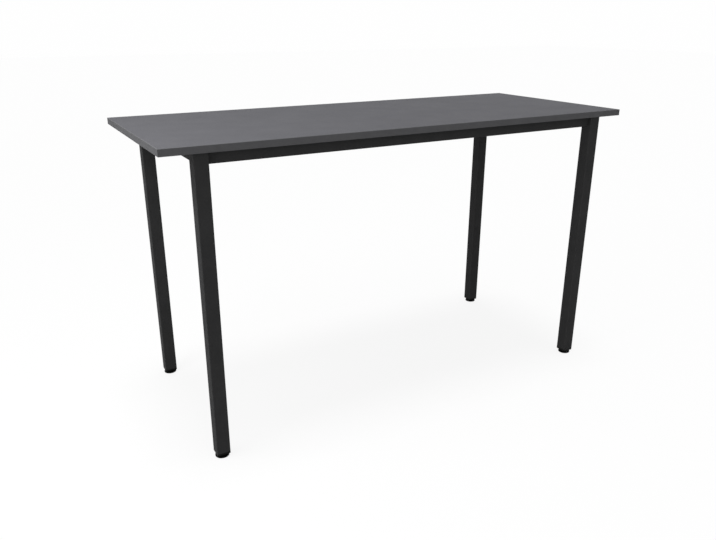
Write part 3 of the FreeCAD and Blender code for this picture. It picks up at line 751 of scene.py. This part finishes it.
def spanner_rings(bottom, top, chamfer):
    """Rings of the six flats that a 17 mm spanner grips, with both ends chamfered."""
    lower = [(bottom + inset, hexagon(NUT_WIDTH, radius)) for inset, radius in chamfer]
    upper = [(top - inset, hexagon(NUT_WIDTH, radius)) for inset, radius in chamfer[::-1]]
    return lower + upper


for corner_name in CORNERS:
    low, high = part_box(f"foot_nut_{corner_name}")
    bottom, top = low.z, high.z
    bore = thread(bottom + 0.5 * MM, top - 0.5 * MM, M10_PITCH, 5.3 * MM, 5.06 * MM)
    rings = [(bottom, 5.7 * MM), (bottom, 8.1 * MM)] + spanner_rings(bottom, top, NUT_CHAMFER)
    rings += [(top, 8.1 * MM), (top, 5.7 * MM)] + bore[::-1]
    mesh = turned(rings, EVEN_STEPS, loop=True)
    mesh.transform(middle_of(f"foot_nut_{corner_name}"))
    stand(f"hexagon_nut_{corner_name}", mesh, bright_zinc, "bright_zinc", "frame",
          f"foot_nut_{corner_name}")


# ---------------------------------------------------------------------------------------- foot stems
# Four M10 screws in bright zinc, upside down: a thread that climbs through the nut into the leg, a hexagon
# collar for a 17 mm spanner, and a riveted disc below it that turns loosely in the foot's base.

# Heights of the collar above the floor.
COLLAR_BOTTOM = 9 * MM
COLLAR_TOP = 14 * MM
# How far from either end of the collar, and the radius that its corners are cut back to there.
COLLAR_CHAMFER = (
    (0.2 * MM, 8.3 * MM), (0.45 * MM, 8.75 * MM), (0.7 * MM, 9.2 * MM), (1.05 * MM, math.inf),
)

for corner_name in CORNERS:
    low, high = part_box(f"foot_stem_{corner_name}")
    rings = [
        (low.z, 0), (low.z, 7.5 * MM), (low.z + 0.5 * MM, 8 * MM), (5.5 * MM, 8 * MM),
        (5.9 * MM, 7.6 * MM), (5.9 * MM, 5.2 * MM), (6.1 * MM, 5 * MM),
        (COLLAR_BOTTOM, 5 * MM), (COLLAR_BOTTOM, 7.9 * MM),
    ]
    rings += spanner_rings(COLLAR_BOTTOM, COLLAR_TOP, COLLAR_CHAMFER)
    rings += [(COLLAR_TOP, 7.9 * MM), (COLLAR_TOP, 4.9 * MM), (COLLAR_TOP + 0.3 * MM, 4.4 * MM)]
    rings += thread(COLLAR_TOP + 0.5 * MM, high.z - 1.1 * MM, M10_PITCH, 4.3 * MM, 4.97 * MM)
    rings += [(high.z - 0.5 * MM, 4.2 * MM), (high.z, 3.8 * MM), (high.z, 0)]
    mesh = turned(rings, EVEN_STEPS, threads=[(COLLAR_TOP + 0.2 * MM, high.z - 0.4 * MM)])
    mesh.transform(middle_of(f"foot_stem_{corner_name}"))
    stand(f"threaded_stem_{corner_name}", mesh, bright_zinc, "bright_zinc", f"stem_{corner_name}",
          f"foot_stem_{corner_name}")


# ---------------------------------------------------------------------------------------- foot bases
# Four round black nylon bases, 52 mm across. The top slopes up to a flat under the collar, a socket inside
# holds the stem's disc, and a recess below takes the rubber.

def eased(corners, steps=4):
    """A closed outline of (radius, height, rounding) corners, in millimetres, with each corner rounded."""
    outline = []
    for index, (x, y, rounding) in enumerate(corners):
        here = np.array((x, y))
        before = np.array(corners[index - 1][:2]) - here
        after = np.array(corners[(index + 1) % len(corners)][:2]) - here
        first = here + before / np.linalg.norm(before) * rounding
        last = here + after / np.linalg.norm(after) * rounding
        for t in np.linspace(0, 1, steps + 1) if rounding else [0]:
            point = (1 - t) ** 2 * first + 2 * t * (1 - t) * here + t**2 * last
            outline.append((point[1] * MM, point[0] * MM))
    return outline


BASE_OUTLINE = [
    (5.3, 9.0, 0.3), (12.2, 9.0, 0.5), (12.8, 8.55, 0.3), (14.2, 8.55, 0.5), (24.9, 5.75, 0.8),
    (26.0, 5.2, 0.6), (26.0, 0.8, 0.6), (21.9, 0.8, 0.2), (21.9, 3.0, 0), (8.3, 3.0, 0.2), (8.3, 6.2, 0.1),
    (5.3, 6.2, 0.1),
]

for corner_name in CORNERS:
    mesh = turned(eased(BASE_OUTLINE), range(0, 360, 5), loop=True)
    mesh.transform(middle_of(f"foot_pad_{corner_name}"))
    stand(f"foot_base_{corner_name}", mesh, black_nylon, "black_nylon", f"foot_{corner_name}",
          f"foot_pad_{corner_name}")


# ---------------------------------------------------------------------------------------- soles
# Four rubber discs pressed into the bases' recesses. Each stands 0.8 mm proud below its base, and has
# moulded rings in its face so that the foot doesn't slide on a hard floor.

SOLE_RADIUS = 21.8 * MM
SOLE_THICKNESS = 3 * MM
GROOVES = (4.5 * MM, 8.3 * MM, 12.1 * MM, 15.9 * MM)
GROOVE_WIDTH = 1.4 * MM
GROOVE_FLANK = 0.3 * MM
GROOVE_DEPTH = 0.55 * MM

sole_rubber = moulding(
    "sole_rubber", (0.010, 0.010, 0.010), (0.016, 0.016, 0.015), (0.70, 0.88), 0.15, 0.04 * MM,
    (0.045, 0.043, 0.04),
)

sole_rings = [(0, 0)]
for groove in GROOVES:
    far_side = groove + GROOVE_WIDTH
    sole_rings += [
        (0, groove), (GROOVE_DEPTH, groove + GROOVE_FLANK), (GROOVE_DEPTH, far_side - GROOVE_FLANK),
        (0, far_side),
    ]
sole_rings += [
    (0, SOLE_RADIUS - 0.6 * MM), (0.18 * MM, SOLE_RADIUS - 0.18 * MM), (0.6 * MM, SOLE_RADIUS),
    (SOLE_THICKNESS, SOLE_RADIUS), (SOLE_THICKNESS, 0),
]

for corner_name in CORNERS:
    mesh = turned(sole_rings, range(0, 360, 5))
    mesh.transform(middle_of(f"foot_sole_{corner_name}"))
    stand(f"rubber_sole_{corner_name}", mesh, sole_rubber, "sole_rubber", f"foot_{corner_name}",
          f"foot_sole_{corner_name}")


# ---------------------------------------------------------------------------------------- board
# One 25 mm particle board, faced on both sides with anthracite laminate: a very fine pearl texture, a faint
# bluish cast and a soft satin. It is drilled from below for twelve threaded sleeves.

SLEEVE_HOLE = 5.05 * MM
SLEEVE_DEPTH = 17 * MM
COLLAR_SEAT = 6.3 * MM
COLLAR_DEPTH = 1.25 * MM
COLLAR_WIDTH = 12.5 * MM
BOARD_EDGE = 0.15 * MM

laminate, tree, shader = new_finish("laminate", Specular_IOR_Level=0.06)
place = add(tree, "ShaderNodeTexCoord").outputs["Object"]
pearl = add(tree, "ShaderNodeTexVoronoi", {"Vector": place, "Scale": 900})
fleck = add(tree, "ShaderNodeSeparateColor", {0: pearl.outputs["Color"]}).outputs[0]
cloud = grain(tree, 90 * MM, 4)
fine = grain(tree, 1.6 * MM, 3)
face = shades(tree, cloud, (0.25, (0.092, 0.092, 0.101)), (0.75, (0.101, 0.101, 0.111)))
face = mixed(tree, spread(tree, fine, 0.35, 0.7, 0, 0.25), face, (0.084, 0.084, 0.093, 1))
face = mixed(tree, spread(tree, fleck, 0.80, 1.0, 0, 0.30), face, (0.145, 0.145, 0.158, 1))
face = mixed(tree, spread(tree, fleck, 0.0, 0.12, 0.25, 0), face, (0.065, 0.065, 0.072, 1))
tree.links.new(face, shader.inputs["Base Color"])
handled = spread(tree, grain(tree, 140 * MM, 5), 0.35, 0.7)
matt = spread(tree, fine, 0.3, 0.7, 0.60, 0.70)
matt = reckon(tree, "SUBTRACT", matt, reckon(tree, "MULTIPLY", handled, 0.05))
tree.links.new(matt, shader.inputs["Roughness"])
relief(tree, shader, (pearl.outputs["Distance"], 0.012 * MM), (fine, 0.02 * MM))

REACHES = ("Long Rail Reach", "Long Rail Spacing", "End Rail Reach", "End Rail Spacing")
board_tree, given, result = new_tree(
    "Drilled board",
    {
        "Size": "Vector", **{reach: "Float" for reach in REACHES},
        "Sleeve Hole": "Float", "Sleeve Depth": "Float", "Collar Seat": "Float", "Collar Depth": "Float",
        "Place": "Vector", "Finish": "Material",
    },
)


def places_over_rails(tree, given, height):
    """Four places over each long rail and two over each end rail, at one height."""
    long_rails = given["Long Rail Reach"], given["Long Rail Spacing"], 4
    end_rails = given["End Rail Spacing"], given["End Rail Reach"], 2
    grids = [
        add(
            tree, "GeometryNodeMeshGrid",
            {"Size X": size_x, "Size Y": size_y, "Vertices X": count, "Vertices Y": 2},
        ).outputs[0]
        for size_x, size_y, count in (long_rails, end_rails)
    ]
    both = add(tree, "GeometryNodeJoinGeometry", {0: grids}).outputs[0]
    raised = add(tree, "GeometryNodeTransform", {0: both, "Translation": vector_of(tree, 0, 0, height)})
    return raised.outputs[0]


blank = add(board_tree, "GeometryNodeMeshCube", {"Size": given["Size"]})
lower_face = add(board_tree, "ShaderNodeSeparateXYZ", {0: given["Size"]}).outputs[2]
lower_face = reckon(board_tree, "MULTIPLY", lower_face, -0.5)
points = places_over_rails(board_tree, given, lower_face)
# Half of each drill's length is in the board.
sleeve_drill = reckon(board_tree, "MULTIPLY", given["Sleeve Depth"], 2)
seat_drill = reckon(board_tree, "MULTIPLY", given["Collar Depth"], 2)
holes = [
    drills(board_tree, points, given["Sleeve Hole"], sleeve_drill, (0, 0, 0)),
    drills(board_tree, points, given["Collar Seat"], seat_drill, (0, 0, 0)),
]
drilled = add(
    board_tree, "GeometryNodeMeshBoolean", {"Mesh 1": blank.outputs[0], "Mesh 2": holes},
    operation="DIFFERENCE", solver="EXACT",
)
laid = add(
    board_tree, "GeometryNodeTransform", {"Geometry": drilled.outputs[0], "Translation": given["Place"]}
)
close_tree(board_tree, laid.outputs[0], given["Finish"], result)

low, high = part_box("top_board")
sleeves_low, sleeves_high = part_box("board_inserts")
over_rails = {
    "Long Rail Reach": 3 * BOARD_SCREWS["front"][1],
    "Long Rail Spacing": sleeves_high.y - sleeves_low.y - COLLAR_WIDTH,
    "End Rail Reach": BOARD_SCREWS["left"][1],
    "End Rail Spacing": sleeves_high.x - sleeves_low.x - COLLAR_WIDTH,
}
board = made(
    "laminated_board", board_tree,
    {
        "Size": high - low, **over_rails, "Sleeve Hole": SLEEVE_HOLE, "Sleeve Depth": SLEEVE_DEPTH,
        "Collar Seat": COLLAR_SEAT, "Collar Depth": COLLAR_DEPTH,
        "Place": (low + high) / 2, "Finish": laminate,
    },
    edge=BOARD_EDGE,
)
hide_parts("top_board")
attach(board, "frame")


# ---------------------------------------------------------------------------------------- edging
# Four 2 mm plastic strips glued round the board in its own colour, their outer edges milled to a 1.5 mm
# round and buffed. The long strips cover the short ones' ends.

# From a strip's middle: where the buffing and painted sheen of its long edges begin, and where they are
# full.
BUFFED_AND_SHEEN_FROM = 10.6 * MM
BUFFED_AND_SHEEN_FULLY = 12.2 * MM

edging, tree, shader = new_finish("edging", Specular_IOR_Level=0.0125)
streak = grain(tree, 1 * MM, 2, stretch=(6, 6, 1))
cloud = grain(tree, 50 * MM, 3)
strip = shades(tree, cloud, (0.3, (0.121, 0.121, 0.126)), (0.7, (0.133, 0.133, 0.139)))
strip = mixed(tree, spread(tree, streak, 0.4, 0.75, 0, 0.3), strip, (0.104, 0.104, 0.109, 1))
low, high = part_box("edging_front")
place = add(tree, "ShaderNodeTexCoord").outputs["Object"]
height = add(tree, "ShaderNodeSeparateXYZ", {0: place}).outputs[2]
from_middle = reckon(tree, "ABSOLUTE", reckon(tree, "SUBTRACT", height, (low.z + high.z) / 2))
near_edge = spread(tree, from_middle, BUFFED_AND_SHEEN_FROM, BUFFED_AND_SHEEN_FULLY, smooth=True)
wear_and_sheen = reckon(tree, "MULTIPLY", near_edge, spread(tree, grain(tree, 14 * MM, 3), 0.38, 0.62, 0.15, 0.8))
# Painted sheen with the buffing: the rounded long edges lighter in patches, and smoother.
strip = mixed(tree, reckon(tree, "MULTIPLY", wear_and_sheen, 0.4), strip, (0.165, 0.165, 0.170, 1))
tree.links.new(strip, shader.inputs["Base Color"])
strip_gloss = spread(tree, grain(tree, 7 * MM, 4), 0.3, 0.7, 0.44, 0.56)
strip_gloss = reckon(tree, "SUBTRACT", strip_gloss, reckon(tree, "MULTIPLY", wear_and_sheen, 0.08))
tree.links.new(strip_gloss, shader.inputs["Roughness"])
relief(tree, shader, (grain(tree, 0.5 * MM, 2), 0.01 * MM), (streak, 0.008 * MM))

for side in BOARD_SCREWS:
    finish_node(f"edging_{side}", edging)


# ---------------------------------------------------------------------------------------- sleeves
# Twelve zinc-plated sleeves, screwed flush into the board's underside: a coarse thread outside for the
# board, an M6 thread inside for a screw, and a thin collar that stops them.

SLEEVE_LENGTH = 13 * MM
SLEEVE_PITCH = 2.5 * MM

sleeve_rings = [
    (0, 3.5 * MM), (0, 6.1 * MM), (0.12 * MM, 6.25 * MM), (1.08 * MM, 6.25 * MM), (1.2 * MM, 6.1 * MM),
    (1.2 * MM, 4.4 * MM),
]
sleeve_rings += thread(1.4 * MM, 12.2 * MM, SLEEVE_PITCH, 4.2 * MM, 4.98 * MM, rings_each=6)
sleeve_rings += [(12.6 * MM, 4.1 * MM), (SLEEVE_LENGTH, 3.8 * MM), (SLEEVE_LENGTH, 3.5 * MM)]
sleeve_rings += thread(0.5 * MM, 12.6 * MM, M6_PITCH, 3.32 * MM, 3.06 * MM, rings_each=4)[::-1]
mesh = turned(sleeve_rings, range(0, 360, 15), loop=True, threads=[(1.3 * MM, 12.4 * MM)])
mesh.materials.append(bright_zinc)
pattern = new_object("sleeve_pattern", mesh)

scatter_tree, given, result = new_tree(
    "Fixings over the rails",
    {
        "Pattern": "Object", **{reach: "Float" for reach in REACHES}, "Height": "Float", "Turn": "Rotation",
        "Finish": "Material", "Seed": "Int",
    },
)
points = places_over_rails(scatter_tree, given, given["Height"])
driven = spun(scatter_tree, points, given["Pattern"], given["Turn"], given["Seed"])
close_tree(scatter_tree, driven, given["Finish"], result)

sleeves = made(
    "threaded_sleeves", scatter_tree,
    {
        "Pattern": pattern, **over_rails, "Height": sleeves_low.z, "Turn": (0, 0, 0),
        "Finish": bright_zinc, "Seed": 11,
    },
)
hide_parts("board_inserts")
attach(sleeves, "frame")
bpy.data.objects.remove(pattern)


# ---------------------------------------------------------------------------------------- board screws
# Twelve M6 x 16 button-head screws in bright zinc. Each is passed up through a rail's bottom wall, bears
# under its top wall and pulls the board down onto the frame.

BOARD_SCREW_LENGTH = 16 * MM

heads_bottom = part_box("board_screws")[0].z
pattern = screw_pattern("board_screw_pattern", BOARD_SCREW_LENGTH, bright_zinc)
board_screws = made(
    "frame_to_board_screws", scatter_tree,
    {
        "Pattern": pattern, **over_rails, "Height": heads_bottom + HEAD_HEIGHT, "Turn": (math.pi, 0, 0),
        "Finish": bright_zinc, "Seed": 12,
    },
)
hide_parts("board_screws")
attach(board_screws, "frame")
bpy.data.objects.remove(pattern)


# ---------------------------------------------------------------------------------------- studio
# A plain pale floor under an even sky and one wide overhead light, a soft lamp beside the left end, and a
# faint low fill light from the front left. The camera is at standing eye level.

FLOOR_REACH = 30
# The floor's grey in the light that it sends back onto the table, and its white where it is seen.
FLOOR_GREY = 0.45
FLOOR_WHITE = 0.97
# How much of the seen white is lit by the lamps, and so takes the table's shadow. The rest glows.
SHADOW_SHARE = 0.125
# The sky's strength on the table, and where it is seen.
SKY_LIGHT = 0.42
SKY_SHOWN = 0.995
EYE = (-1.47375, -2.48412, 1.52255)

floor_mesh = bpy.data.meshes.new("floor")
floor_mesh.from_pydata(
    [(x * FLOOR_REACH, y * FLOOR_REACH, 0) for x, y in ((-1, -1), (1, -1), (1, 1), (-1, 1))],
    [], [(0, 1, 2, 3)],
)
floor = new_object("floor", floor_mesh)


def seen_directly(tree):
    """1 for the camera's rays and for what gloss or glass shows, and 0 for the light on the object."""
    path = add(tree, "ShaderNodeLightPath").outputs
    seen = reckon(tree, "ADD", path["Is Camera Ray"], path["Is Glossy Ray"])
    return reckon(tree, "ADD", seen, path["Is Transmission Ray"], clamp=True)


floor_finish = bpy.data.materials.new("studio_floor")
floor_finish.use_nodes = True
tree = floor_finish.node_tree
tree.nodes.clear()
lit = add(tree, "ShaderNodeBsdfDiffuse", {"Color": (FLOOR_GREY, FLOOR_GREY, FLOOR_GREY, 1)})
shadowed = add(tree, "ShaderNodeBsdfDiffuse", {"Color": (FLOOR_WHITE, FLOOR_WHITE, FLOOR_WHITE, 1)})
glow = add(tree, "ShaderNodeEmission", {"Color": (1, 1, 1, 1), "Strength": 1.0})
white = add(tree, "ShaderNodeMixShader", {0: SHADOW_SHARE, 1: glow.outputs[0], 2: shadowed.outputs[0]})
above = add(tree, "ShaderNodeMixShader", {0: seen_directly(tree), 1: lit.outputs[0], 2: white.outputs[0]})
clear = add(tree, "ShaderNodeBsdfTransparent")
behind = add(tree, "ShaderNodeNewGeometry").outputs["Backfacing"]
either = add(tree, "ShaderNodeMixShader", {0: behind, 1: above.outputs[0], 2: clear.outputs[0]})
add(tree, "ShaderNodeOutputMaterial", {0: either.outputs[0]})
floor_mesh.materials.append(floor_finish)

world = bpy.data.worlds.new("studio")
bpy.context.scene.world = world
world.use_nodes = True
tree = world.node_tree
tree.nodes.clear()
strength = spread(tree, seen_directly(tree), 0, 1, SKY_LIGHT, SKY_SHOWN)
sky = add(tree, "ShaderNodeBackground", {"Color": (1, 1, 1, 1), "Strength": strength})
add(tree, "ShaderNodeOutputWorld", {0: sky.outputs[0]})


def aimed(turn, tilt):
    """The turn of a lamp or camera: tilted up from straight down, then turned about Z, in degrees."""
    return Matrix.Rotation(math.radians(turn), 4, "Z") @ Matrix.Rotation(math.radians(tilt), 4, "X")


overhead = bpy.data.lights.new("overhead", "SUN")
overhead.energy = 1.5
overhead.angle = math.radians(20)
new_object("overhead", overhead).location = (0, 0, 4)

side = bpy.data.lights.new("side", "AREA")
side.shape = "RECTANGLE"
side.size = 0.8
side.size_y = 0.8
side.energy = 12.5
side_lamp = new_object("side", side)
side_lamp.matrix_world = Matrix.Translation((-1.7, -0.3, 2.1)) @ aimed(-90, 42)
side_lamp.visible_camera = False

fill = bpy.data.lights.new("fill", "SUN")
fill.energy = 0.32
fill.angle = math.radians(30)
new_object("fill", fill).matrix_world = aimed(-68, 90 - 12)

camera_data = bpy.data.cameras.new("camera")
camera_data.lens = 34.2847
camera_data.sensor_width = 36
camera_data.sensor_fit = "HORIZONTAL"
camera_data.clip_end = 200
camera = new_object("camera", camera_data)
look = aimed(-29.2644, 90 - 20.2362) @ Matrix.Rotation(math.radians(0.0618), 4, "Z")
camera.matrix_world = Matrix.Translation(EYE) @ look
bpy.context.scene.camera = camera
bpy.context.scene.view_settings.view_transform = "Standard"
